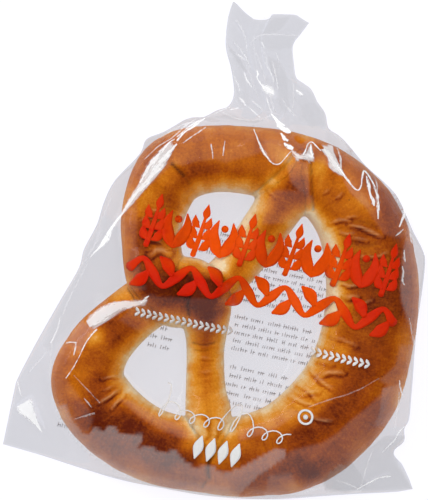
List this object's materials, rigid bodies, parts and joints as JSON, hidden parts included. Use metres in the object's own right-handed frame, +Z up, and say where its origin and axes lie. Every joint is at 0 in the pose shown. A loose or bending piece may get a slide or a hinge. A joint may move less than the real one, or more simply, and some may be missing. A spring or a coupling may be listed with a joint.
{
  "type": "kringle in a clear bag",
  "caption": "Large soft wheat kringle, one rope of dough knotted into a ring, lying face up in a clear printed plastic bag gathered into a pleated neck.",
  "frame": {"origin": "on the surface that the pack lies on, in the middle of the pack's box", "axes": "+Z up, out of the printed front; +Y along the pack towards the gathered neck; +X across the pack, to the right as the print is read"},
  "size_m": [0.3271, 0.3901, 0.0501],
  "materials": {
    "bag_film": "clear crinkled film, strong gloss, slightly milky where it doubles",
    "crust": "baked crust with an egg wash: soft gloss, deep brown on top, cream on the inner sides",
    "print_orange": "solid orange ink on the film",
    "print_white": "solid white ink on the film",
    "print_grey": "thin dark grey ink on the back of the bag"
  },
  "bodies": {
    "root": {"bag": "bag_film"}
  },
  "joints": []
}
